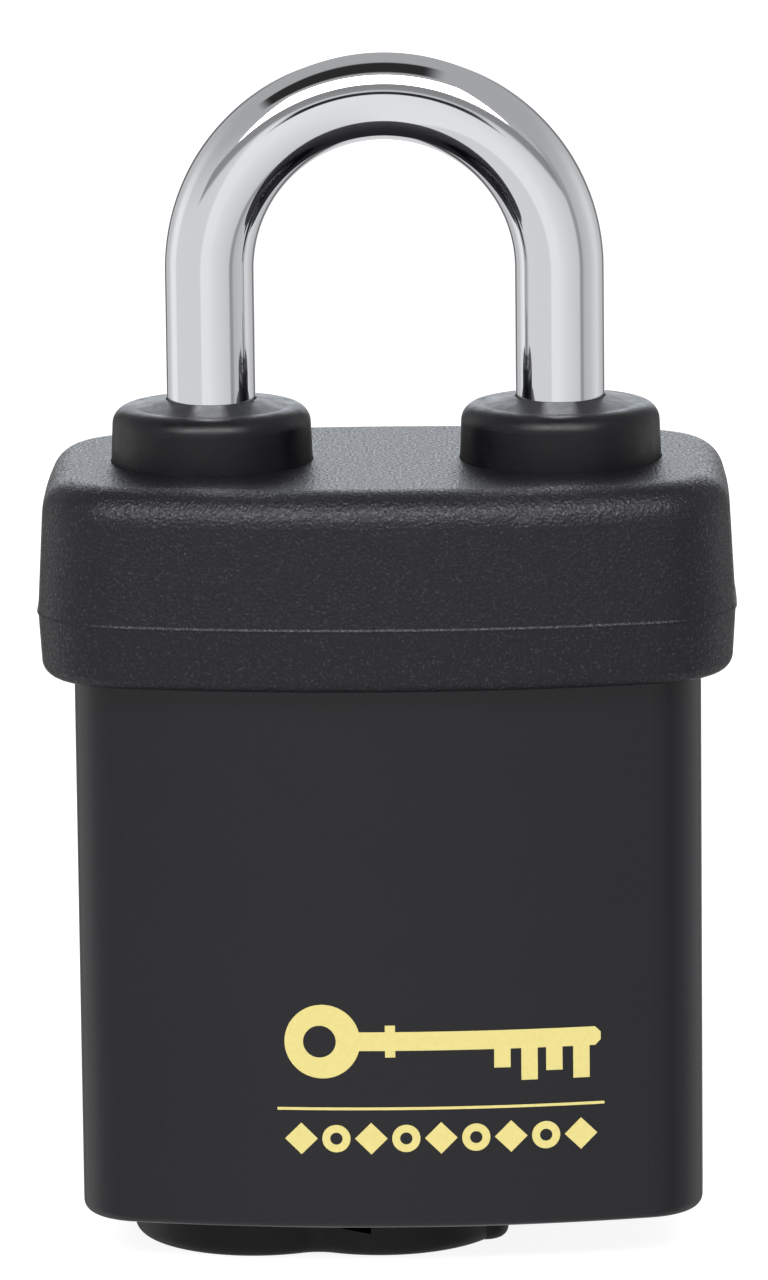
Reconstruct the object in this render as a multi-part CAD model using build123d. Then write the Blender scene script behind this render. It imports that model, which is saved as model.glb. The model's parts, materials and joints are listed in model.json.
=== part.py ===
"""Weather-jacketed padlock: 5/16 inch shackle, steel body, ball locking, pin cylinder with a sidebar.

Frame: millimetres, +Z up, X across the width, -Y is the marked front face. The origin is on the surface
that the padlock stands on, under the middle of the body. As drawn, the shackle is pushed home and the key
plug stands in its release position, with both balls drawn in. Turning the plug by -90 degrees locks it.
"""

from build123d import *
from math import cos, hypot, pi, radians, sin, sqrt
import os

# ---------------------------------------------------------------- driving dimensions
ROD_R = 7.94 / 2  # 5/16 inch shackle rod
LEG_X = 15.55  # each leg's axis from the middle
CLEARANCE = 28.6  # inside of the bow above the cap: 1-1/8 inch
LIFT = 23.3  # shackle travel until the toe clears its seal

COVER_T = 3.9  # keyway cover, from the standing surface up
JACKET_Z0 = 4.05  # underside of the lower jacket
JACKET_W = 27.95  # half width of the jacket
JACKET_D = 16.75  # half depth of the jacket at its bowed middle
FACE_BOW_R = 102.0  # plan radius of the jacket's front and back faces
END_BOW = 0.4  # how far each end face bows out
JACKET_CORNER = 5.75  # plan radius of the jacket's corners
JACKET_WALL = 2.9
FLOOR_T = 2.7
JACKET_TOP = 67.3

CAP_PROUD = 3.05  # how far the cap stands out beyond the jacket at its parting line
CAP_Z0 = 53.1
PARTING_Z = 58.85
CAP_TOP = 70.8
CAP_ROOF = 3.0
CAP_TOP_ROUND = 3.2
CAP_FOOT_ROUND = 1.5
FLASH = 0.1  # moulding flash standing out at the parting line
SLIP = 0.12  # moulded parts pushed over one another

SEAL_R = 8.8
SEAL_FLARE = 0.2  # the collar's foot is this much wider
SEAL_TOP = CAP_TOP + 5.5  # where the seal meets the rod
SEAL_SHOULDER = CAP_TOP + 4.9
SEAL_ROUND = 1.6  # rounding of the shoulder
SEAT_R = 9.06  # shallow seat that each seal stands in
SEAT_DEPTH = 0.25

BODY_Z0 = JACKET_Z0 + FLOOR_T
BODY_TOP = 67.4
BORE_R = ROD_R + 0.13

BALL_R = 3.5
BALL_Z = 59.0
BALL_IN = 8.08  # ball centre from the middle when released
BALL_TRAVEL = 1.85  # outward travel over a quarter turn of the plug
CHAMBER_R = 6.7  # actuator chamber
CHAMBER_TOP = 63.8
CAM_GAP = 0.04

PLUG_R = 6.35
SHELL_R = 8.0
SHELL_Z0 = 5.0
SHELL_Z1 = 37.8
BIBLE_X = 14.8  # outer face of the pin housing, on the -X side
BIBLE_W = 3.9  # its half width
PIN_R = 1.45
PIN_HOLE_R = 1.5
PIN_Z0 = 10.9
PIN_PITCH = 3.9
PIN_TIPS = (-2.1, -0.9, -2.7, -0.3, -1.5, -2.4)  # how deep each bottom pin reaches, for a bitted key

SIDEBAR_SPRING_Z = (11.5, 31.0)
CYLINDER_SCREW_Z = 22.6

PIVOT_X = -18.5  # screw that the keyway cover swings on
HEEL_Z = 25.0  # lower end of the long leg
TOE_Z = BALL_Z - 5.3  # lower end of the short leg
RETAINER_Z = 52.5
NECK_R = 3.0

UP = (Align.CENTER, Align.CENTER, Align.MIN)
OUT = "parts"


# ---------------------------------------------------------------- helpers
def post(x, y, r, z0, z1):
    """Upright cylinder from z0 to z1."""
    return Pos(x, y, z0) * Cylinder(r, z1 - z0, align=UP)


def rod_x(r, x0, x1, y, z):
    """Cylinder along X from x0 to x1."""
    return Pos(x0, y, z) * Rot(0, 90, 0) * Cylinder(r, x1 - x0, align=UP)


def rod_y(r, y0, y1, x, z):
    """Cylinder along Y from y0 to y1."""
    return Pos(x, y0, z) * Rot(-90, 0, 0) * Cylinder(r, y1 - y0, align=UP)


def block(x0, x1, y0, y1, z0, z1):
    """Box between two corners."""
    middle = Pos((x0 + x1) / 2, (y0 + y1) / 2, (z0 + z1) / 2)
    return middle * Box(x1 - x0, y1 - y0, z1 - z0)


def ring(x, y, r_out, r_in, z0, z1):
    """Flat washer or tube."""
    return post(x, y, r_out, z0, z1) - post(x, y, r_in, z0 - 1, z1 + 1)


def outline(grow):
    """Plan of the body at height 0: bowed faces and round corners, grown past the jacket's outside."""
    half_w = JACKET_W + grow
    half_d = JACKET_D + grow
    bow_r = FACE_BOW_R + grow
    corner_x = half_w - END_BOW
    corner_y = half_d - (bow_r - sqrt(bow_r**2 - corner_x**2))
    front = ThreePointArc((-corner_x, -corner_y), (0, -half_d), (corner_x, -corner_y))
    right = ThreePointArc((corner_x, -corner_y), (half_w, 0), (corner_x, corner_y))
    back = ThreePointArc((corner_x, corner_y), (0, half_d), (-corner_x, corner_y))
    left = ThreePointArc((-corner_x, corner_y), (-half_w, 0), (-corner_x, -corner_y))
    face = make_face([front, right, back, left])
    return fillet(face.vertices(), JACKET_CORNER + grow)


def prism(grow, z0, z1, taper=0.0):
    """The plan pulled up from z0 to z1. A positive taper narrows it upwards."""
    return extrude(Pos(0, 0, z0) * outline(grow), amount=z1 - z0, taper=taper)


def coil(mean_r, wire_r, length, turns):
    """Compression spring standing on height 0, its wire's ends at half its thickness from each seat."""
    height = length - 2 * wire_r
    path = Pos(0, 0, wire_r) * Helix(pitch=height / turns, height=height, radius=mean_r)
    return sweep((path ^ 0) * Circle(wire_r), path=path, is_frenet=True)


def snap_bead(extra):
    """Low ridge round the jacket that the cap's groove snaps over, with extra room added for the groove."""
    return prism(0.35 + extra, 62.2 - extra, 63.4 + extra)


# ---------------------------------------------------------------- jacket, cap and seals
def cylinder_section(grow):
    """Figure-of-eight section of the lock cylinder: a round shell with its pin housing towards -X."""
    pin_housing = Pos(-(BIBLE_X + grow) / 2, 0) * Rectangle(BIBLE_X + grow, 2 * (BIBLE_W + grow))
    outer_corners = pin_housing.vertices().sort_by(Axis.X)[:2]
    return Circle(SHELL_R + grow) + fillet(outer_corners, 1.5)


def lower_jacket():
    body = prism(0, JACKET_Z0, JACKET_TOP)
    body = fillet(body.edges().group_by(Axis.Z)[0], 1.0)
    body = chamfer(body.edges().group_by(Axis.Z)[-1], 0.5)
    body += snap_bead(0)
    body -= prism(-JACKET_WALL, BODY_Z0, JACKET_TOP + 1)
    body -= extrude(Pos(0, 0, JACKET_Z0 - 1) * cylinder_section(0.35), FLOOR_T + 2)
    return body - post(PIVOT_X, 0, 2.2, JACKET_Z0 - 1, BODY_Z0 + 1)


def top_cap():
    upper = prism(CAP_PROUD, PARTING_Z, CAP_TOP, taper=3.2)
    upper = fillet(upper.edges().group_by(Axis.Z)[-1], CAP_TOP_ROUND)
    skirt = Rot(180, 0, 0) * prism(CAP_PROUD, -PARTING_Z, -CAP_Z0, taper=3.5)
    skirt = fillet(skirt.edges().group_by(Axis.Z)[0], CAP_FOOT_ROUND)
    flash_top = prism(CAP_PROUD + FLASH, PARTING_Z, PARTING_Z + 0.18, taper=30)
    flash = flash_top + prism(CAP_PROUD + FLASH, PARTING_Z - 0.05, PARTING_Z)
    cap = upper + skirt + flash
    cap -= prism(SLIP, CAP_Z0 - 1, CAP_TOP - CAP_ROOF)
    cap -= snap_bead(SLIP)
    for x in (-LEG_X, LEG_X):
        cap -= post(x, 0, SEAT_R, CAP_TOP - SEAT_DEPTH, CAP_TOP + 1)
        cap -= post(x, 0, 6.6, CAP_TOP - CAP_ROOF - 1, CAP_TOP + 1)
        cap -= post(x, 0, 8.1, CAP_TOP - CAP_ROOF - 1, CAP_TOP - CAP_ROOF + 1.4)
    return cap


def shackle_seal(x):
    """Rubber grommet: a round-shouldered collar, a neck through the cap and a flange under it."""
    lip_r = ROD_R + 0.08
    foot = CAP_TOP - SEAT_DEPTH
    profile = Polyline(
        (lip_r, CAP_TOP - CAP_ROOF + 0.1),
        (7.9, CAP_TOP - CAP_ROOF + 0.1),
        (7.9, CAP_TOP - CAP_ROOF + 1.3),
        (6.5, CAP_TOP - CAP_ROOF + 1.3),
        (6.5, foot),
        (SEAL_R + SEAL_FLARE, foot),
        (SEAL_R, SEAL_SHOULDER),
        (6.9, SEAL_SHOULDER),
        (5.0, SEAL_TOP - 0.2),
        (lip_r, SEAL_TOP),
        close=True,
    )
    section = Plane.XZ * make_face(profile)
    seal = revolve(section, Axis.Z)
    rim = [e for e in seal.edges() if abs(e.center().Z - SEAL_SHOULDER) < 0.01 and e.radius > SEAL_R - 1]
    return Pos(x, 0, 0) * fillet(rim, SEAL_ROUND)


# ---------------------------------------------------------------- steel body and what is pressed into it
def lock_body():
    body = prism(-JACKET_WALL - SLIP, BODY_Z0 + 0.05, BODY_TOP)
    body = chamfer(body.edges().group_by(Axis.Z)[0] + body.edges().group_by(Axis.Z)[-1], 0.8)
    body -= post(LEG_X, 0, BORE_R, 10.0, BODY_TOP + 1)
    body -= post(-LEG_X, 0, BORE_R, TOE_Z - 1.2, BODY_TOP + 1)
    body -= extrude(Pos(0, 0, BODY_Z0 - 1) * cylinder_section(0.06), 39.2 - BODY_Z0 + 1)
    body -= post(0, 0, CHAMBER_R, 39.0, CHAMBER_TOP)
    body -= post(0, 0, 2.05, CHAMBER_TOP - 1, CHAMBER_TOP + 1.6)
    body -= rod_x(BALL_R + 0.08, -JACKET_W, LEG_X, 0, BALL_Z)
    body -= rod_y(1.0, -JACKET_D, JACKET_D, LEG_X + BORE_R + 0.02, RETAINER_Z)
    body -= rod_y(2.0, -JACKET_D, -SHELL_R + 0.2, 0, CYLINDER_SCREW_Z)
    return body - post(PIVOT_X, 0, 1.5, BODY_Z0 - 1, 15.5)


def channel_plug():
    """Steel plug pressed into the drilled end of the ball channel."""
    wall_x = JACKET_W - JACKET_WALL - SLIP
    plug = rod_x(BALL_R + 0.08, -wall_x + 0.3, -LEG_X - BORE_R - 0.05, 0, BALL_Z)
    return chamfer(plug.edges().group_by(Axis.X)[0], 0.4)


def shackle_retaining_pin():
    """Slit spring pin across the heel bore."""
    x = LEG_X + BORE_R + 0.02
    pin = rod_y(0.99, -11.5, 11.5, x, RETAINER_Z) - rod_y(0.55, -12, 12, x, RETAINER_Z)
    return pin - block(x, x + 2, -12, 12, RETAINER_Z - 0.15, RETAINER_Z + 0.15)


def cylinder_screw():
    """Dog-point set screw from the front, under the jacket, that holds the cylinder in the body."""
    z = CYLINDER_SCREW_Z
    screw = rod_y(1.99, -13.2, -SHELL_R - 0.1, 0, z) + rod_y(1.2, -SHELL_R - 0.2, -SHELL_R + 0.6, 0, z)
    socket = extrude(Plane.XZ * Pos(0, z) * RegularPolygon(1.0, 6, major_radius=False), 14)
    return screw - (socket & block(-3, 3, -14, -11.2, z - 3, z + 3))


def heel_spring():
    return Pos(LEG_X, 0, 10.05) * coil(3.2, 0.4, HEEL_Z - 10.1, 9)


# ---------------------------------------------------------------- shackle and balls
def shackle():
    bow_z = CAP_TOP + CLEARANCE + ROD_R - LEG_X
    heel = post(LEG_X, 0, ROD_R, HEEL_Z, bow_z)
    toe = post(-LEG_X, 0, ROD_R, TOE_Z, bow_z)
    heel = chamfer(heel.edges().group_by(Axis.Z)[0], 0.6)
    toe = chamfer(toe.edges().group_by(Axis.Z)[0], 0.9)
    section = Pos(LEG_X, 0, bow_z) * Circle(ROD_R)
    bow = revolve(section, Axis((0, 0, bow_z), (0, -1, 0)), 180)
    neck_z0 = RETAINER_Z - 1.05 - LIFT
    groove = ring(LEG_X, 0, ROD_R + 1, NECK_R, neck_z0, RETAINER_Z + 1.3)
    rod = heel + bow + toe - groove
    notch_r = BALL_R + 0.15
    locked_x = BALL_IN + BALL_TRAVEL
    for x, z in ((locked_x, BALL_Z), (-locked_x, BALL_Z), (locked_x, BALL_Z - LIFT)):
        rod -= rod_y(notch_r, -ROD_R - 1, ROD_R + 1, x, z)
    return rod


def ball(side):
    return Pos(side * BALL_IN, 0, BALL_Z) * Sphere(BALL_R)


# ---------------------------------------------------------------- cylinder: the still half
def cylinder_shell():
    shell = extrude(Pos(0, 0, SHELL_Z0) * cylinder_section(0), SHELL_Z1 - SHELL_Z0)
    shell -= post(0, 0, PLUG_R + 0.07, SHELL_Z0 - 1, SHELL_Z1 + 1)
    shell -= post(0, 0, 7.2, SHELL_Z0 - 1, SHELL_Z0 + 1.6)
    for z in pin_heights():
        shell -= rod_x(PIN_HOLE_R, -BIBLE_X + 1.0, -PLUG_R + 1, 0, z)
    shell -= block(-BIBLE_X + 0.4, -BIBLE_X + 1.05, -2.2, 2.2, PIN_Z0 - 2.2, SHELL_Z1 + 1)
    shell -= block(-BIBLE_X - 1, -BIBLE_X + 0.6, -1.8, 1.8, PIN_Z0 - 1.8, SHELL_Z1 + 1)
    v_groove = Polyline((-0.9, PLUG_R - 0.2), (0.9, PLUG_R - 0.2), (0, PLUG_R + 0.7), close=True)
    shell -= extrude(Pos(0, 0, SHELL_Z0 + 4) * make_face(v_groove), SHELL_Z1 - SHELL_Z0)
    shell -= rod_y(1.25, -SHELL_R - 1, -SHELL_R + 0.75, 0, CYLINDER_SCREW_Z)
    for y in (-2.5, 2.5):
        shell -= post(-9.8, y, 0.72, SHELL_Z0 + 0.5, 9.2)
    return shell


def pin_heights():
    return [PIN_Z0 + i * PIN_PITCH for i in range(6)]


def driver_pins():
    return [rod_x(PIN_R, -9.7, -PLUG_R - 0.1, 0, z) for z in pin_heights()]


def pin_springs():
    spring = coil(1.1, 0.17, 3.8, 6)
    return [Pos(-9.75, 0, z) * Rot(0, -90, 0) * spring for z in pin_heights()]


def pin_chamber_cover():
    """Strip slid into the pin housing over the springs."""
    return block(-BIBLE_X + 0.45, -BIBLE_X + 1.0, -2.15, 2.15, PIN_Z0 - 2.1, SHELL_Z1 - 0.2)


def shell_drill_pins():
    return [post(-9.8, y, 0.7, SHELL_Z0 + 0.6, 9.1) for y in (-2.5, 2.5)]


# ---------------------------------------------------------------- cylinder: the half that turns
# Drawn with its pins towards -X, as when locked. open_turn() sets each piece in the release position.
def open_turn(shape):
    return Rot(0, 0, 90) * shape


def keyway_section():
    """Slot with two ward steps."""
    left_wall = [(-3.4, -0.75), (-1.2, -0.75), (-0.9, -1.25), (1.1, -1.25), (1.4, -0.6), (5.0, -0.6)]
    right_wall = [(5.0, 1.3), (2.6, 1.3), (2.3, 0.75), (0.2, 0.75), (-0.1, 1.15), (-3.4, 1.15)]
    return make_face(Polyline(*left_wall, *right_wall, close=True))


def key_plug():
    plug = post(0, 0, PLUG_R, SHELL_Z0 - 0.3, SHELL_Z1)
    plug += post(0, 0, 7.1, SHELL_Z0 - 0.3, SHELL_Z0 + 1.5)
    plug = chamfer(plug.edges().group_by(Axis.Z)[0], 0.35)
    plug += ring(0, 0, 5.3, 0.01, SHELL_Z1, 40.4) + post(0, 0, 0.02, SHELL_Z1, 40.4)
    plug -= ring(0, 0, 8, 4.5, 38.05, 38.9)
    plug -= extrude(Pos(0, 0, SHELL_Z0 - 1) * keyway_section(), 32)
    plug -= post(0, 0, 2.3, SHELL_Z0 - 1, SHELL_Z0) & block(-1.9, 4, -2, 2, 0, 9)
    for z in pin_heights():
        plug -= rod_x(PIN_HOLE_R, -PLUG_R - 1, 0.8, 0, z)
    plug -= block(-0.85, 0.85, 3.9, 7, 9.4, 33.4)
    for z in SIDEBAR_SPRING_Z:
        plug -= rod_y(1.1, 2.4, 4.5, 0, z)
    for y in (-3.6, 3.6):
        plug -= post(2.0, y, 0.77, SHELL_Z0 + 0.3, 9.2)
    return plug - block(-1.3, 1.3, -6, 6, 38.95, 41)


def bottom_pins():
    pins = []
    for z, tip in zip(pin_heights(), PIN_TIPS):
        shank = rod_x(PIN_R, -PLUG_R + 0.17, tip - 0.7, 0, z)
        point = Pos(tip - 0.7, 0, z) * Rot(0, 90, 0) * Cone(PIN_R, 0.5, 0.7, align=UP)
        pins.append(shank + point)
    return pins


def sidebar():
    """Bar that drops into the pins' slots, with a V edge towards the shell."""
    foot = [(-0.8, 3.95), (0.8, 3.95)]
    edge = [(0.8, 5.7), (0.25, 6.28), (-0.25, 6.28), (-0.8, 5.7)]
    section = Polyline(*foot, *edge, close=True)
    return extrude(Pos(0, 0, 9.5) * make_face(section), 23.8)


def sidebar_springs():
    spring = coil(0.85, 0.2, 1.5, 2.0)
    return [Pos(0, 2.42, z) * Rot(-90, 0, 0) * spring for z in SIDEBAR_SPRING_Z]


def plug_drill_pins():
    return [post(2.0, y, 0.75, SHELL_Z0 + 0.4, 9.1) for y in (-3.6, 3.6)]


def plug_clip():
    """C-shaped clip in the plug's rear groove, wider than the shell's bore."""
    return ring(0, 0, 7.3, 4.55, 38.1, 38.8) - block(3, 9, -3.4, 3.4, 37, 40)


def tail_blade():
    """Blade between the slots of the plug and the actuator."""
    return block(-1.2, 1.2, -4.9, 4.9, 39.0, 44.6)


def cam_section():
    """Two lobes whose rise pushes each ball out evenly as the plug turns towards locked."""
    rise = BALL_TRAVEL / (pi / 2)
    reach = BALL_R + CAM_GAP

    def flank_point(turn, start):
        centre_r = BALL_IN + rise * turn
        x, y = centre_r * cos(turn), centre_r * sin(turn)
        along_x = rise * cos(turn) - centre_r * sin(turn)
        along_y = rise * sin(turn) + centre_r * cos(turn)
        length = hypot(along_x, along_y)
        x, y = x - reach * along_y / length, y + reach * along_x / length
        return Vector(x, y).rotate(Axis.Z, start)

    turns = [radians(t) for t in range(-5, 93, 8)]
    flanks = [Spline(*(flank_point(t, start) for t in turns)) for start in (0, 180)]
    backs = [Line(flanks[0] @ 1, flanks[1] @ 0), Line(flanks[1] @ 1, flanks[0] @ 0)]
    return make_face([flanks[0], backs[0], flanks[1], backs[1]])


def actuator():
    """Ball cam, drawn as it stands in the release position."""
    body = post(0, 0, 6.6, 41.0, 44.0) + post(0, 0, 4.2, 43.5, BALL_Z - 4)
    body += extrude(Pos(0, 0, BALL_Z - 4.4) * cam_section(), 9.0)
    body += post(0, 0, 1.98, BALL_Z + 4, CHAMBER_TOP + 1.3)
    return body - block(-5.2, 5.2, -1.35, 1.35, 40, 45.0)


# ---------------------------------------------------------------- keyway cover and its pivot
def keyway_cover():
    """Two round lobes joined by hollow waists, one end squared off, with a thumb notch at the front."""
    pivot_lobe = post(-12.3, 0, 11.25, 0, COVER_T)
    key_lobe = post(-1.0, 0, 11.4, 0, COVER_T)
    tail = block(0, 10.35, -6.4, 6.4, 0, COVER_T)
    tail = fillet(tail.edges().filter_by(Axis.Z).group_by(Axis.X)[-1], 2.2)
    cover = pivot_lobe + key_lobe
    waists = [e for e in cover.edges().filter_by(Axis.Z) if abs(e.center().Y) > 5]
    cover = fillet(waists, 3.0) + tail
    cover = fillet(cover.edges().group_by(Axis.Z)[0], 1.0)
    cover -= post(PIVOT_X, 0, 2.06, -1, COVER_T + 1)
    cover -= post(PIVOT_X, 0, 3.4, -1, 2.05)
    notch = Polyline((-5.6, 2.75), (-2.0, 2.2), (-2.0, COVER_T + 1), (-5.6, COVER_T + 1), close=True)
    cover -= Pos(0, -5.2, 0) * extrude(Plane.XZ * make_face(notch), 8.0)
    return cover - post(0, 0, 7.4, COVER_T - 0.6, COVER_T + 1)


def cover_screw():
    """Shouldered pivot screw with a hexagon socket."""
    head = chamfer(post(PIVOT_X, 0, 2.9, 0.35, 1.75).edges().group_by(Axis.Z)[0], 0.3)
    screw = head + post(PIVOT_X, 0, 1.98, 1.7, BODY_Z0) + post(PIVOT_X, 0, 1.48, BODY_Z0 - 0.1, 14.8)
    socket = Pos(PIVOT_X, 0, 0) * RegularPolygon(1.25, 6, major_radius=False)
    return screw - extrude(socket, 1.9)


def cover_spring_washer():
    return ring(PIVOT_X, 0, 3.0, 2.1, 1.77, 2.02)


# ---------------------------------------------------------------- write the nodes
def nodes():
    made = {
        "lower_jacket": lower_jacket(),
        "top_cap": top_cap(),
        "toe_seal": shackle_seal(-LEG_X),
        "heel_seal": shackle_seal(LEG_X),
        "lock_body": lock_body(),
        "ball_channel_plug": channel_plug(),
        "shackle_retaining_pin": shackle_retaining_pin(),
        "cylinder_screw": cylinder_screw(),
        "heel_spring": heel_spring(),
        "shackle": shackle(),
        "toe_ball": ball(-1),
        "heel_ball": ball(1),
        "cylinder_shell": cylinder_shell(),
        "driver_pins": driver_pins(),
        "pin_springs": pin_springs(),
        "pin_chamber_cover": pin_chamber_cover(),
        "shell_drill_pins": shell_drill_pins(),
        "actuator": actuator(),
        "keyway_cover": keyway_cover(),
        "cover_screw": cover_screw(),
        "cover_spring_washer": cover_spring_washer(),
    }
    turning = {
        "key_plug": key_plug(),
        "bottom_pins": bottom_pins(),
        "sidebar": sidebar(),
        "sidebar_springs": sidebar_springs(),
        "plug_drill_pins": plug_drill_pins(),
        "plug_clip": plug_clip(),
        "tail_blade": tail_blade(),
    }
    for name, shape in turning.items():
        pieces = shape if isinstance(shape, list) else [shape]
        made[name] = [open_turn(piece) for piece in pieces]
    return made


def write_all():
    os.makedirs(OUT, exist_ok=True)
    for name, shape in nodes().items():
        pieces = shape if isinstance(shape, list) else [shape]
        solids = [solid for piece in pieces for solid in piece.solids()]
        whole = solids[0] if len(solids) == 1 else Compound(children=solids)
        export_step(whole, os.path.join(OUT, name + ".step"))


write_all()
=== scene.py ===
import json
from math import atan2, cos, pi, radians, sin, tau
from typing import NamedTuple

import bmesh
import bpy
from mathutils import Matrix, Vector
from mathutils.bvhtree import BVHTree


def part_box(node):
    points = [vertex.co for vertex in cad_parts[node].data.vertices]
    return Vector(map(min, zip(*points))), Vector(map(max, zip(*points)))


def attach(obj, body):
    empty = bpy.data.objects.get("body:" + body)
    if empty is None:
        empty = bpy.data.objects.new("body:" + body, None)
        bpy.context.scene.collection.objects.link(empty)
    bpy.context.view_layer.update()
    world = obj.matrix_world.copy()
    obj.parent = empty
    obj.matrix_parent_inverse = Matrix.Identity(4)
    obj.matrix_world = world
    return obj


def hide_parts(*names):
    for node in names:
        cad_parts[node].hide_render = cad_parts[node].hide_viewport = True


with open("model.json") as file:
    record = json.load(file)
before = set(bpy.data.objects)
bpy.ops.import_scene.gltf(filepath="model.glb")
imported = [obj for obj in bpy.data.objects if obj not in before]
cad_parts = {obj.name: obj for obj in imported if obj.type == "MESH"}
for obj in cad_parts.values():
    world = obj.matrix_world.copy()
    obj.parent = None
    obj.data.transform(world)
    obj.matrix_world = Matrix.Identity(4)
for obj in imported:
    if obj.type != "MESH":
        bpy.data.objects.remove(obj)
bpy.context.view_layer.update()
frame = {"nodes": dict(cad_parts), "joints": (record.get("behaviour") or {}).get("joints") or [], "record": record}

MM = 0.001
NODES = frame["nodes"]
SCENE = bpy.context.scene

# ---------------------------------------------------------------- camera
# A long lens a little above the padlock and a hair to its right. Its sensor lies along the picture's height.
SENSOR = 36.0  # mm
LENS = 224.938  # mm
CAM_AZIMUTH = radians(0.677)
CAM_ELEVATION = radians(11.26)
CAM_ROLL = radians(0.633)
CAM_DISTANCE = 0.7171
CAM_TARGET = Vector((-0.00039, 0.0, 0.05417))
CAM_CLIP = (0.05, 60.0)


def make_camera():
    data = bpy.data.cameras.new("camera")
    data.sensor_width = SENSOR
    data.lens = LENS
    data.clip_start, data.clip_end = CAM_CLIP
    camera = bpy.data.objects.new("camera", data)
    SCENE.collection.objects.link(camera)
    flat = cos(CAM_ELEVATION)
    back = Vector((sin(CAM_AZIMUTH) * flat, -cos(CAM_AZIMUTH) * flat, sin(CAM_ELEVATION)))
    aim = (-back).to_track_quat("-Z", "Y").to_matrix().to_4x4()
    roll = Matrix.Rotation(-CAM_ROLL, 4, "Z")
    camera.matrix_world = Matrix.Translation(CAM_TARGET + back * CAM_DISTANCE) @ aim @ roll
    SCENE.camera = camera


# ---------------------------------------------------------------- shader helpers
class Graph:
    """Short calls for building a node tree."""

    def __init__(self, tree):
        self.tree = tree
        self.tree.nodes.clear()

    def add(self, kind, settings=None, **inputs):
        node = self.tree.nodes.new(kind)
        for key, value in (settings or {}).items():
            setattr(node, key, value)
        for key, value in inputs.items():
            self.feed(node, key.replace("_", " "), value)
        return node

    def feed(self, node, name, value):
        """Link or set an input, given by its name or, as digits, by its place."""
        socket = node.inputs[int(name)] if name.isdigit() else node.inputs[name]
        if isinstance(value, bpy.types.NodeSocket):
            self.tree.links.new(value, socket)
        else:
            socket.default_value = value

    def math(self, operation, first, second=0.0, third=0.0):
        node = self.add("ShaderNodeMath", {"operation": operation})
        for index, value in enumerate((first, second, third)):
            self.feed(node, str(index), value)
        return node.outputs[0]

    def ramp(self, value, low, high, out_low=0.0, out_high=1.0):
        """Smooth step from out_low at low to out_high at high."""
        node = self.add("ShaderNodeMapRange", {"interpolation_type": "SMOOTHSTEP"})
        for index, number in enumerate((value, low, high, out_low, out_high)):
            self.feed(node, str(index), number)
        return node.outputs[0]

    def mix(self, factor, first, second):
        """Blend of two colours."""
        node = self.add("ShaderNodeMix", {"data_type": "RGBA"})
        self.feed(node, "0", factor)
        self.feed(node, "6", first)
        self.feed(node, "7", second)
        return node.outputs[2]

    def blend(self, factor, first, second):
        """Blend of two numbers."""
        node = self.add("ShaderNodeMix", {"data_type": "FLOAT"})
        self.feed(node, "0", factor)
        self.feed(node, "2", first)
        self.feed(node, "3", second)
        return node.outputs[0]

    def noise(self, vector, scale, detail=2.0, roughness=0.5):
        node = self.add("ShaderNodeTexNoise", Vector=vector, Scale=scale, Detail=detail, Roughness=roughness)
        return node.outputs[0]

    def cells(self, vector, scale):
        node = self.add("ShaderNodeTexVoronoi", Vector=vector, Scale=scale)
        return node.outputs["Distance"]

    def stretched(self, vector, x, y, z):
        """Coordinates scaled by axis, for drawn or turned marks."""
        node = self.add("ShaderNodeVectorMath", {"operation": "MULTIPLY"})
        self.feed(node, "0", vector)
        self.feed(node, "1", (x, y, z))
        return node.outputs[0]

    def bump(self, height, strength, depth_mm, normal=None):
        node = self.add("ShaderNodeBump", Height=height, Strength=strength, Distance=depth_mm * MM)
        if normal is not None:
            self.feed(node, "Normal", normal)
        return node.outputs[0]


def new_material(name):
    material = bpy.data.materials.new(name)
    material.use_nodes = True
    graph = Graph(material.node_tree)
    shader = graph.add("ShaderNodeBsdfPrincipled")
    output = graph.add("ShaderNodeOutputMaterial")
    material.node_tree.links.new(shader.outputs[0], output.inputs[0])
    place = graph.add("ShaderNodeTexCoord").outputs["Object"]
    return material, graph, shader, place


def rgba(colour, gain=1.0, lift=0.0):
    return [channel * gain + lift for channel in colour] + [1.0]


# ---------------------------------------------------------------- materials
# Noise scales are in waves per metre of the object.
CAP_BLACK = (0.0020, 0.0018, 0.0038)
JACKET_BLACK = (0.0026, 0.0024, 0.0042)
COVER_BLACK = (0.0012, 0.0012, 0.0014)
RUBBER_BLACK = (0.0008, 0.0008, 0.0018)
RUBBER_GREY = (0.0022, 0.0022, 0.0036)
CHROME_DARK = (0.755, 0.765, 0.785)
CHROME_LIGHT = (0.79, 0.795, 0.81)
INK_DARK = (0.52, 0.445, 0.155)
INK_LIGHT = (0.62, 0.54, 0.205)
PAPER = (0.30, 0.30, 0.30)


def moulded_plastic(name, colour, rough, gloss_spread, specular, grain_mm, grain_depth_mm, fleck):
    """Black moulded plastic: eroded grain, pale flecks on the grain's tips and slightly varied gloss."""
    material, graph, shader, place = new_material(name)
    grain_scale = 1.0 / (grain_mm * MM)
    mottle = graph.noise(place, 130.0, 4.0, 0.6)
    body = graph.mix(mottle, rgba(colour, 0.7), rgba(colour, 1.2))
    grain = graph.noise(place, grain_scale, 2.5, 0.65)
    tips = graph.ramp(grain, 0.55, 0.70)
    graph.feed(shader, "Base Color", graph.mix(tips, body, rgba(colour, lift=fleck)))
    pits = graph.cells(place, 0.7 * grain_scale)
    height = graph.math("MULTIPLY_ADD", pits, 0.6, grain)
    graph.feed(shader, "Normal", graph.bump(height, 1.0, grain_depth_mm))
    gloss = graph.ramp(grain, 0.38, 0.62, rough + gloss_spread, rough - gloss_spread)
    graph.feed(shader, "Roughness", gloss)
    shader.inputs["Specular IOR Level"].default_value = specular
    return material


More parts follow.
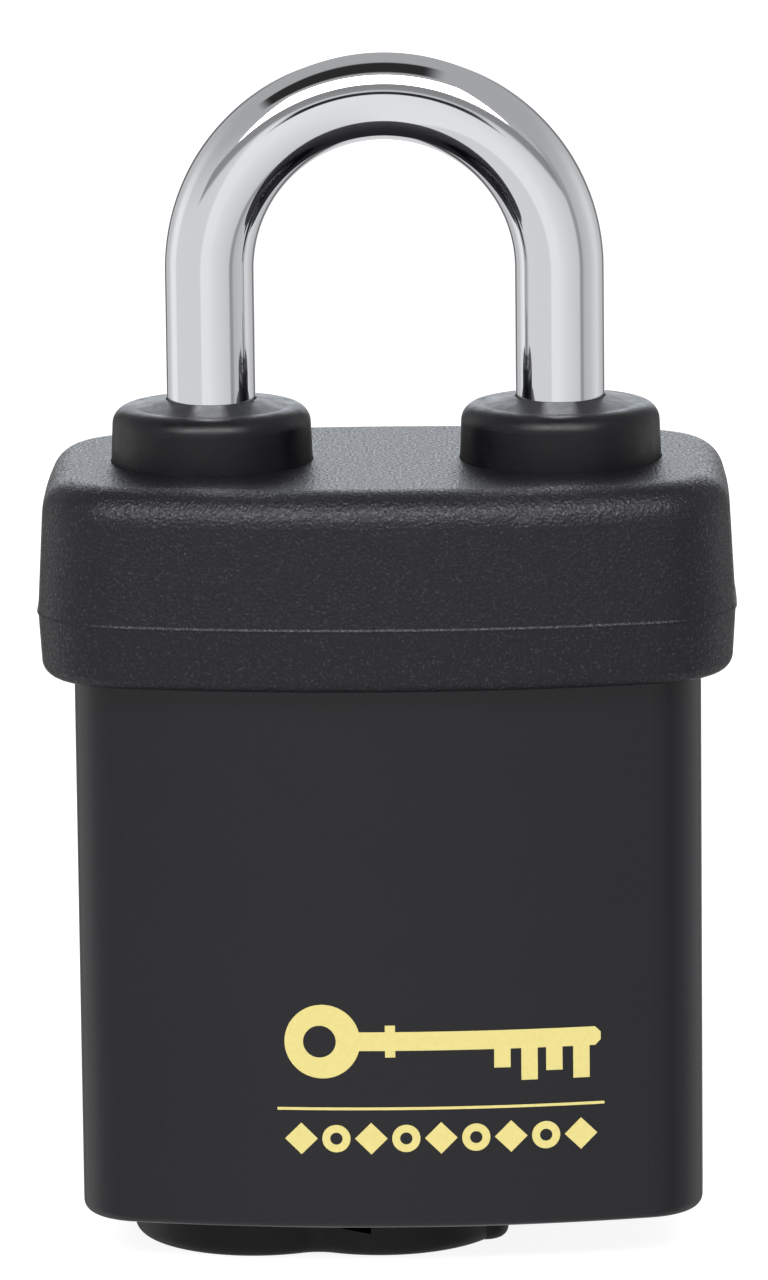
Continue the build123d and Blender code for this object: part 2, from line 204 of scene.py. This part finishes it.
def rubber(name):
    """Smooth black rubber with a faint bloom and rubbed scuffs."""
    material, graph, shader, place = new_material(name)
    mottle = graph.noise(place, 240.0, 4.0, 0.65)
    graph.feed(shader, "Base Color", graph.mix(mottle, rgba(RUBBER_BLACK), rgba(RUBBER_GREY)))
    bloom = graph.noise(place, 650.0, 4.0, 0.6)
    graph.feed(shader, "Roughness", graph.ramp(bloom, 0.3, 0.7, 0.34, 0.45))
    scuffs = graph.noise(graph.stretched(place, 300.0, 300.0, 1400.0), 1.0, 3.0, 0.6)
    fine = graph.noise(place, 3400.0, 3.0, 0.6)
    graph.feed(shader, "Normal", graph.bump(fine, 0.8, 0.02, graph.bump(scuffs, 0.3, 0.05)))
    shader.inputs["Specular IOR Level"].default_value = 0.36
    return material


def chrome(name):
    """Polished plate with a faint orange peel and hairline marks."""
    material, graph, shader, place = new_material(name)
    shader.inputs["Metallic"].default_value = 1.0
    cloud = graph.noise(place, 60.0, 3.0, 0.5)
    graph.feed(shader, "Base Color", graph.mix(cloud, rgba(CHROME_DARK), rgba(CHROME_LIGHT)))
    hair = graph.noise(graph.stretched(place, 5200.0, 5200.0, 260.0), 1.0, 2.0, 0.5)
    smear = graph.ramp(graph.noise(place, 180.0, 4.0, 0.6), 0.35, 0.75, 0.018, 0.06)
    graph.feed(shader, "Roughness", graph.math("MULTIPLY_ADD", hair, 0.02, smear))
    peel = graph.noise(place, 420.0, 1.0, 0.4)
    graph.feed(shader, "Normal", graph.bump(peel, 0.05, 0.02))
    return material


def machined(name, colour, rough, lathe=False, plated=0.0):
    """Turned or milled metal with fine tool marks."""
    material, graph, shader, place = new_material(name)
    shader.inputs["Metallic"].default_value = 1.0
    tarnish = graph.noise(place, 320.0, 4.0, 0.6)
    graph.feed(shader, "Base Color", graph.mix(tarnish, rgba(colour, 0.72), rgba(colour, 1.1, plated)))
    scale = (150.0, 150.0, 7000.0) if lathe else (5200.0, 420.0, 420.0)
    marks = graph.noise(graph.stretched(place, *scale), 1.0, 3.0, 0.6)
    graph.feed(shader, "Roughness", graph.ramp(marks, 0.25, 0.75, rough - 0.08, rough + 0.1))
    graph.feed(shader, "Normal", graph.bump(marks, 0.35, 0.012))
    return material


def ink(name):
    """Pad-printed pale gold ink with a slightly broken film."""
    material, graph, shader, place = new_material(name)
    film = graph.noise(place, 2600.0, 4.0, 0.65)
    graph.feed(shader, "Base Color", graph.mix(film, rgba(INK_DARK), rgba(INK_LIGHT)))
    graph.feed(shader, "Roughness", graph.ramp(film, 0.3, 0.7, 0.4, 0.56))
    graph.feed(shader, "Normal", graph.bump(film, 0.4, 0.01))
    shader.inputs["Specular IOR Level"].default_value = 0.3
    return material


def lit_paper(name):
    """White paper lit from below, as on a light table, so that it melts into the backdrop."""
    material, graph, shader, place = new_material(name)
    fibre = graph.noise(place, 900.0, 3.0, 0.5)
    graph.feed(shader, "Base Color", graph.mix(fibre, rgba(PAPER, lift=-0.01), rgba(PAPER, lift=0.01)))
    graph.feed(shader, "Emission Color", (1.0, 1.0, 1.0, 1.0))
    shader.inputs["Emission Strength"].default_value = 0.90
    shader.inputs["Roughness"].default_value = 0.9
    shader.inputs["Specular IOR Level"].default_value = 0.0
    return material


# How each material is made. Those of the CAD nodes carry the names of the record's slots.
RECIPES = {
    "cap_plastic": (moulded_plastic, {
        "colour": CAP_BLACK, "rough": 0.40, "gloss_spread": 0.13, "specular": 0.38,
        "grain_mm": 0.24, "grain_depth_mm": 0.07, "fleck": 0.022,
    }),
    "jacket_plastic": (moulded_plastic, {
        "colour": JACKET_BLACK, "rough": 0.32, "gloss_spread": 0.04, "specular": 0.41,
        "grain_mm": 0.14, "grain_depth_mm": 0.006, "fleck": 0.003,
    }),
    "cover_plastic": (moulded_plastic, {
        "colour": COVER_BLACK, "rough": 0.42, "gloss_spread": 0.04, "specular": 0.23,
        "grain_mm": 0.16, "grain_depth_mm": 0.008, "fleck": 0.002,
    }),
    "seal_rubber": (rubber, {}),
    "shackle_chrome": (chrome, {}),
    "body_steel": (machined, {"colour": (0.42, 0.42, 0.43), "rough": 0.38}),
    "hardened_steel": (machined, {"colour": (0.52, 0.52, 0.54), "rough": 0.22, "lathe": True}),
    "spring_steel": (machined, {"colour": (0.40, 0.40, 0.42), "rough": 0.3}),
    "screw_steel": (machined, {"colour": (0.075, 0.075, 0.08), "rough": 0.4, "lathe": True}),
    "cylinder_brass": (machined, {"colour": (0.68, 0.50, 0.22), "rough": 0.3, "lathe": True}),
    "plug_brass": (machined, {"colour": (0.62, 0.57, 0.46), "rough": 0.28, "lathe": True, "plated": 0.04}),
    "pin_nickel_silver": (machined, {"colour": (0.66, 0.62, 0.52), "rough": 0.28, "lathe": True}),
    "print_ink": (ink, {}),
    "floor_paper": (lit_paper, {}),
}


# ---------------------------------------------------------------- light
# The studio is a world seen by direction. Upright paper stands all round and fades into a grey ceiling.
# The cards were worked out from the light and dark bands that the photographed shackle reflects.
# Each card: its first and last azimuth in degrees, from the front towards +X, and its brightness at both.
PAPER_ROUND = {
    "backdrop_left": (-180, -163, 0.80, 0.75),
    "gap_behind_left": (-160, -150, 0.10, 0.12),
    "rear_wall_left": (-146, -128, 0.60, 0.66),
    "lamp_left": (-112, -98, 1.00, 1.00),
    "wall_left": (-92, -24, 0.80, 0.79),
    "front": (-20, -2, 0.97, 0.95),
    "front_right": (12, 52, 0.86, 0.70),
    "gap_right": (56, 62, 0.36, 0.38),
    "wall_right": (66, 88, 0.56, 0.66),
    "lamp_right": (104, 114, 0.80, 0.82),
    "rear_wall_right": (126, 142, 0.68, 0.58),
    "gap_behind_right": (150, 158, 0.20, 0.12),
    "backdrop_right": (163, 180, 0.75, 0.80),
}
CEILING = 0.47
CEILING_RISE = (0.10, 0.66)  # height of the direction where the paper begins to fade, and where it has gone


class Panel(NamedTuple):
    """A soft-edged rectangle, measured in a plane one unit away on its side of the padlock."""

    side: str  # front, back or top
    across: tuple  # low edge, high edge and softness along X
    along: tuple  # the same upwards, or along Y for the top
    fade: tuple  # lean towards that side where it begins to show, and where it shows in full
    brightness: float
    cover: float = 1.0


PANELS = {
    "grey_strip": Panel("front", (-1.6, 1.4, 0.15), (0.33, 0.68, 0.06), (0.0, 0.02), 0.22, cover=0.8),
    "white_panel": Panel("front", (-1.02, 0.76, 0.03), (0.72, 1.62, 0.03), (0.0, 0.02), 9.0),
    "dark_gap": Panel("top", (-0.84, 0.30, 0.08), (-0.44, 0.14, 0.05), (0.2, 0.3), 0.03),
    "rear_sweep": Panel("back", (-0.30, 0.30, 0.06), (0.04, 0.62, 0.05), (0.0, 0.05), 2.4),
    "camera_stand": Panel("front", (-0.24, 0.24, 0.04), (0.14, 0.27, 0.015), (0.0, 0.02), 0.03),
}
WHITE = (0.985, 0.99, 1.0, 1.0)
SKY_WHITE = (0.88, 0.935, 1.0, 1.0)
BACKDROP_SEEN = 1.0  # what the camera itself sees behind the padlock
NEAR_ZERO = 0.001  # keeps divisions finite for directions that lean the other way


def paper_brightness(graph, x, front):
    """Brightness of the upright paper, by the direction's parts along X and towards the front."""
    turn = graph.math("ARCTAN2", x, front)
    around = graph.math("MULTIPLY_ADD", turn, 1.0 / tau, 0.5)
    edges = []
    for first, last, first_level, last_level in PAPER_ROUND.values():
        edges += [(first, first_level), (last, last_level)]
    node = graph.add("ShaderNodeValToRGB", Fac=around)
    stops = node.color_ramp.elements
    stops[0].color = rgba([edges[0][1]] * 3)
    stops[1].color = rgba([edges[-1][1]] * 3)
    for azimuth, level in edges[1:-1]:
        stops.new(azimuth / 360.0 + 0.5).color = rgba([level] * 3)
    return node.outputs["Color"]


def window(graph, value, low, high, soft):
    """1 between low and high, 0 outside, with soft edges."""
    rising = graph.ramp(value, low - soft, low + soft)
    falling = graph.ramp(value, high - soft, high + soft, 1.0, 0.0)
    return graph.math("MULTIPLY", rising, falling)


def panel_mask(graph, panel, across, along, lean):
    """1 where the direction meets the panel, 0 elsewhere. Lean is its part towards the panel's side."""
    away = graph.math("MAXIMUM", lean, NEAR_ZERO)
    in_width = window(graph, graph.math("DIVIDE", across, away), *panel.across)
    in_height = window(graph, graph.math("DIVIDE", along, away), *panel.along)
    mask = graph.math("MULTIPLY", in_width, in_height)
    return graph.math("MULTIPLY", mask, graph.ramp(lean, *panel.fade))


def make_world():
    """Soft studio: paper all round, a white panel in front above and a bright sweep behind."""
    world = bpy.data.worlds.new("studio")
    world.use_nodes = True
    SCENE.world = world
    graph = Graph(world.node_tree)
    way = graph.add("ShaderNodeTexCoord").outputs["Generated"]
    x, y, z = graph.add("ShaderNodeSeparateXYZ", Vector=way).outputs
    front = graph.math("MULTIPLY", y, -1.0)
    along_and_lean = {"front": (z, front), "back": (z, y), "top": (y, z)}
    level = graph.blend(graph.ramp(z, *CEILING_RISE), paper_brightness(graph, x, front), CEILING)
    masks = {}
    for name, panel in PANELS.items():
        masks[name] = panel_mask(graph, panel, x, *along_and_lean[panel.side])
        level = graph.blend(graph.math("MULTIPLY", masks[name], panel.cover), level, panel.brightness)
    seen = graph.add("ShaderNodeLightPath").outputs["Is Camera Ray"]
    level = graph.blend(seen, level, BACKDROP_SEEN)
    tint = graph.mix(masks["rear_sweep"], WHITE, SKY_WHITE)
    background = graph.add("ShaderNodeBackground", Color=tint, Strength=level)
    output = graph.add("ShaderNodeOutputWorld")
    world.node_tree.links.new(background.outputs[0], output.inputs[0])


FLOOR_HALF = 30.0
FLOOR_DROP = 0.02 * MM  # keeps the floor clear of the cover's underside


def make_floor(materials):
    """Wide sheet under the padlock. Reflections show the studio's paper in its place."""
    mesh = bpy.data.meshes.new("floor")
    corners = [(x * FLOOR_HALF, y * FLOOR_HALF, 0) for x, y in ((-1, -1), (1, -1), (1, 1), (-1, 1))]
    mesh.from_pydata(corners, [], [(0, 1, 2, 3)])
    floor = bpy.data.objects.new("floor", mesh)
    floor.location.z = -FLOOR_DROP
    SCENE.collection.objects.link(floor)
    mesh.materials.append(materials["floor_paper"])
    floor.visible_glossy = False


# ---------------------------------------------------------------- pieces
SHARP_ANGLE = radians(32.0)


def paint_nodes(materials):
    """Every CAD node gets the material of its slot."""
    for entry in frame["record"]["subparts"]:
        node = NODES[entry["node"]]
        node.data.materials.clear()
        node.data.materials.append(materials[entry["material_slot"]])


def link_piece(name, mesh, body, material):
    piece = bpy.data.objects.new(name, mesh)
    SCENE.collection.objects.link(piece)
    mesh.materials.clear()
    mesh.materials.append(material)
    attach(piece, body)
    return piece


def joint_reach(name):
    return max(joint["range_m"][1] for joint in frame["joints"] if joint["name"] == name)


# ---------------------------------------------------------------- shackle
ROD_SIDES = 96
BOW_STEPS = 160
LEG_END = 2.0 * MM  # from the last ring of a straight leg to the bow
FOOT_BEVEL = 0.6 * MM
TOE_BEVEL = 0.9 * MM
TOE_BELOW_BALL = 1.8 * MM
NECK_RADIUS = 3.0 * MM
NECK_ABOVE_PIN = 0.31 * MM
NECK_BELOW_PIN = 0.06 * MM
NECK_EDGE = 0.01 * MM
NOTCH_CLEARANCE = 0.15 * MM


class Rod(NamedTuple):
    """The shackle's main sizes, read from the CAD frame."""

    radius: float
    leg_x: float
    foot_z: float
    bow_z: float
    travel: float


def read_rod():
    low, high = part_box("shackle")
    radius = (high.y - low.y) / 2
    leg_x = high.x - radius
    return Rod(radius, leg_x, low.z, high.z - radius - leg_x, joint_reach("shackle_lift"))


def rod_rings(rod):
    """Centre, outward direction and radius of each ring, from the long leg's foot round to the toe."""
    pin_low, pin_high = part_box("shackle_retaining_pin")
    neck_low = pin_low.z - NECK_BELOW_PIN - rod.travel
    neck_top = pin_high.z + NECK_ABOVE_PIN
    toe_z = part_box("toe_ball")[0].z - TOE_BELOW_BALL
    full = rod.radius
    long_leg = [
        (rod.foot_z, 0.0),
        (rod.foot_z, full - FOOT_BEVEL),
        (rod.foot_z + FOOT_BEVEL, full),
        (neck_low - NECK_EDGE, full),
        (neck_low, full - NECK_EDGE),
        (neck_low, NECK_RADIUS),
        (neck_top, NECK_RADIUS),
        (neck_top, full - NECK_EDGE),
        (neck_top + NECK_EDGE, full),
        (rod.bow_z - LEG_END, full),
    ]
    toe_leg = [
        (rod.bow_z - LEG_END, full),
        (toe_z + TOE_BEVEL, full),
        (toe_z, full - TOE_BEVEL),
        (toe_z, 0.0),
    ]
    rings = [(Vector((rod.leg_x, 0, z)), Vector((1, 0, 0)), r) for z, r in long_leg]
    for step in range(BOW_STEPS + 1):
        angle = pi * step / BOW_STEPS
        out = Vector((cos(angle), 0, sin(angle)))
        rings.append((Vector((0, 0, rod.bow_z)) + out * rod.leg_x, out, full))
    rings += [(Vector((-rod.leg_x, 0, z)), Vector((-1, 0, 0)), r) for z, r in toe_leg]
    return rings


def skin_rings(rings):
    """Closed mesh through the rings. A ring of radius 0 is a pole."""
    bm = bmesh.new()
    side = Vector((0, 1, 0))
    turns = [tau * k / ROD_SIDES for k in range(ROD_SIDES)]
    loops = []
    for centre, out, r in rings:
        if r == 0.0:
            loops.append([bm.verts.new(centre)])
        else:
            loops.append([bm.verts.new(centre + (out * cos(turn) + side * sin(turn)) * r) for turn in turns])
    for a, b in zip(loops, loops[1:]):
        for k in range(ROD_SIDES):
            n = (k + 1) % ROD_SIDES
            if len(a) == 1:
                bm.faces.new((a[0], b[n], b[k]))
            elif len(b) == 1:
                bm.faces.new((a[k], a[n], b[0]))
            else:
                bm.faces.new((a[k], a[n], b[n], b[k]))
    bmesh.ops.recalc_face_normals(bm, faces=bm.faces)
    mesh = bpy.data.meshes.new("shackle_rod")
    bm.to_mesh(mesh)
    bm.free()
    return mesh


def notch_cutters(rod):
    """Rollers across the rod where the balls lock, and one for the heel ball with the shackle lifted."""
    ball_low, ball_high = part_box("heel_ball")
    radius = (ball_high.z - ball_low.z) / 2 + NOTCH_CLEARANCE
    ball_z = (ball_high.z + ball_low.z) / 2
    out_x = (ball_high.x + ball_low.x) / 2 + joint_reach("heel_ball_slide")
    cutters = bmesh.new()
    for x, z in ((out_x, ball_z), (-out_x, ball_z), (out_x, ball_z - rod.travel)):
        place = Matrix.Translation((x, 0, z)) @ Matrix.Rotation(pi / 2, 4, "X")
        bmesh.ops.create_cone(
            cutters, cap_ends=True, segments=ROD_SIDES, radius1=radius, radius2=radius,
            depth=3 * rod.radius, matrix=place,
        )
    mesh = bpy.data.meshes.new("notch_cutters")
    cutters.to_mesh(mesh)
    cutters.free()
    return mesh


def subtract(mesh, cutter_mesh):
    """New mesh of the first with the second cut out of it."""
    objects = [bpy.data.objects.new(m.name, m) for m in (mesh, cutter_mesh)]
    for item in objects:
        SCENE.collection.objects.link(item)
    modifier = objects[0].modifiers.new("notches", "BOOLEAN")
    modifier.operation = "DIFFERENCE"
    modifier.solver = "EXACT"
    modifier.object = objects[1]
    bpy.context.view_layer.update()
    evaluated = objects[0].evaluated_get(bpy.context.evaluated_depsgraph_get())
    cut = bpy.data.meshes.new_from_object(evaluated)
    for item in objects:
        bpy.data.objects.remove(item)
    return cut


def make_shackle(materials):
    """Round rod swept round the bow, with the long leg's neck and the balls' notches."""
    rod = read_rod()
    mesh = subtract(skin_rings(rod_rings(rod)), notch_cutters(rod))
    mesh.shade_smooth()
    mesh.set_sharp_from_angle(angle=SHARP_ANGLE)
    piece = link_piece("shackle_rod", mesh, "shackle", materials["shackle_chrome"])
    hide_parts("shackle")


# ---------------------------------------------------------------- print on the front face
# All in mm, in the plane of the front: a key above a rule and a row of plain beads.
PRINT_LEFT = -9.8
PRINT_RIGHT = 18.6
PRINT_THICK = 0.02
PRINT_SINK = 0.002  # how far the film's back lies inside the jacket
PRINT_STRIP = 1.0  # width of the film's strips, which bend with the bowed face
PRINT_RAY = 10.0  # how far before the face the search for it starts
MERGE = 0.001  # points nearer than this become one
CUT_TOLERANCE = 0.0001
KEY_MID = 21.3
KEY_LEFT = PRINT_LEFT + 0.4
KEY_BOW = 3.35
KEY_BOW_STEPS = 64
KEY_HOLE = 1.45
KEY_HOLE_SHIFT = 0.25
KEY_SHAFT = 0.85  # half its height
KEY_COLLAR = 1.45  # half its height
KEY_COLLAR_AT = 2.2
KEY_COLLAR_WIDE = 0.9
KEY_TIP = 0.5
TOOTH_WIDE = 1.45
TEETH = ((8.0, 1.7), (5.6, 2.9), (3.4, 2.1), (1.0, 2.9))  # gap between tooth and tip, and drop
RULE = (15.05, 15.3)
RULE_OVERHANG = 0.3
BEADS = 9
BEAD_FIRST = -8.0
BEAD_PITCH = 3.1
BEAD_Z = 12.45
BEAD_DIAMOND = 1.45
BEAD_RING = 1.25
BEAD_RING_HOLE = 0.55
DISC_STEPS = 48
SMALL_DISC_STEPS = 32
DIAMOND_STEPS = 4


def disc(x, z, r, steps=DISC_STEPS):
    return [(x + r * cos(tau * k / steps), z + r * sin(tau * k / steps)) for k in range(steps)]


def bar(x0, x1, z0, z1):
    return [(x0, z0), (x1, z0), (x1, z1), (x0, z1)]


def key_outline(bow_x):
    """The key's outer edge: round the bow, along the teeth to the tip and back along the top."""
    under, over = KEY_MID - KEY_SHAFT, KEY_MID + KEY_SHAFT
    neck = atan2(KEY_SHAFT, (KEY_BOW**2 - KEY_SHAFT**2) ** 0.5)
    points = []
    for k in range(KEY_BOW_STEPS + 1):
        angle = neck + (tau - 2 * neck) * k / KEY_BOW_STEPS
        points.append((bow_x + KEY_BOW * cos(angle), KEY_MID + KEY_BOW * sin(angle)))
    collar = bow_x + KEY_BOW + KEY_COLLAR_AT
    collar_end = collar + KEY_COLLAR_WIDE
    low = KEY_MID - KEY_COLLAR
    high = KEY_MID + KEY_COLLAR
    points += [(collar, under), (collar, low), (collar_end, low), (collar_end, under)]
    for inset, drop in TEETH:
        x1 = PRINT_RIGHT - inset
        x0 = x1 - TOOTH_WIDE
        points += [(x0, under), (x0, under - drop), (x1, under - drop), (x1, under)]
    points += [(PRINT_RIGHT - KEY_TIP, under), (PRINT_RIGHT, under + KEY_TIP)]
    points += [(PRINT_RIGHT, over - KEY_TIP), (PRINT_RIGHT - KEY_TIP, over)]
    points += [(collar_end, over), (collar_end, high), (collar, high), (collar, over)]
    return points


def bead_row():
    """Diamonds and rings by turns."""
    shapes = []
    for k in range(BEADS):
        x = BEAD_FIRST + BEAD_PITCH * k
        if k % 2:
            shapes.append([disc(x, BEAD_Z, BEAD_RING), disc(x, BEAD_Z, BEAD_RING_HOLE, SMALL_DISC_STEPS)])
        else:
            shapes.append([disc(x, BEAD_Z, BEAD_DIAMOND, DIAMOND_STEPS)])
    return shapes


def print_outlines():
    """Shapes of the print, each a list of an outer loop and its holes."""
    bow_x = KEY_LEFT + KEY_BOW
    key = [key_outline(bow_x), disc(bow_x - KEY_HOLE_SHIFT, KEY_MID, KEY_HOLE)]
    rule = [bar(PRINT_LEFT - RULE_OVERHANG, PRINT_RIGHT + RULE_OVERHANG, *RULE)]
    return [key, rule] + bead_row()


def filled(shapes):
    """Flat mesh of the shapes, with mm turned into metres."""
    curve = bpy.data.curves.new("print_outlines", "CURVE")
    curve.dimensions = "2D"
    curve.fill_mode = "BOTH"
    for loop in [loop for shape in shapes for loop in shape]:
        spline = curve.splines.new("POLY")
        spline.points.add(len(loop) - 1)
        spline.use_cyclic_u = True
        for point, (x, z) in zip(spline.points, loop):
            point.co = (x * MM, z * MM, 0, 1)
    flat = bpy.data.objects.new("print_outlines", curve)
    SCENE.collection.objects.link(flat)
    bpy.context.view_layer.update()
    mesh = bpy.data.meshes.new_from_object(flat.evaluated_get(bpy.context.evaluated_depsgraph_get()))
    bpy.data.objects.remove(flat)
    return mesh


def lay_on_jacket(bm):
    """Cut the flat film into upright strips and move its points onto the bowed front."""
    low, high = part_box("lower_jacket")
    for k in range(1, int((high.x - low.x) / (PRINT_STRIP * MM))):
        cut = (low.x + PRINT_STRIP * MM * k, 0, 0)
        everything = bm.verts[:] + bm.edges[:] + bm.faces[:]
        bmesh.ops.bisect_plane(bm, geom=everything, plane_co=cut, plane_no=(1, 0, 0), dist=CUT_TOLERANCE * MM)
    bmesh.ops.triangulate(bm, faces=bm.faces)
    jacket = BVHTree.FromObject(NODES["lower_jacket"], bpy.context.evaluated_depsgraph_get())
    start_y = low.y - PRINT_RAY * MM
    for vert in bm.verts:
        x, z = vert.co.x, vert.co.y
        hit = jacket.ray_cast(Vector((x, start_y, z)), Vector((0, 1, 0)))[0]
        vert.co = Vector((x, hit.y + PRINT_SINK * MM, z))
    bmesh.ops.recalc_face_normals(bm, faces=bm.faces)


def thicken(bm):
    """Turn the sheet into a closed film that stands out towards the front."""
    if sum(face.normal.y * face.calc_area() for face in bm.faces) > 0:
        bmesh.ops.reverse_faces(bm, faces=bm.faces[:])
    extruded = bmesh.ops.extrude_face_region(bm, geom=bm.faces[:])
    for item in extruded["geom"]:
        if isinstance(item, bmesh.types.BMVert):
            item.co.y -= PRINT_THICK * MM
    bmesh.ops.recalc_face_normals(bm, faces=bm.faces)


def make_print(materials):
    """Ink film laid on the bowed front face."""
    mesh = filled(print_outlines())
    bm = bmesh.new()
    bm.from_mesh(mesh)
    bmesh.ops.remove_doubles(bm, verts=bm.verts, dist=MERGE * MM)
    lay_on_jacket(bm)
    thicken(bm)
    bm.to_mesh(mesh)
    bm.free()
    link_piece("front_print", mesh, "housing", materials["print_ink"])


# ---------------------------------------------------------------- build the scene
def build():
    SCENE.view_settings.view_transform = "Standard"
    SCENE.view_settings.look = "None"
    materials = {name: make(name, **values) for name, (make, values) in RECIPES.items()}
    make_camera()
    make_world()
    make_floor(materials)
    paint_nodes(materials)
    make_shackle(materials)
    make_print(materials)


build()
bpy.context.view_layer.update()
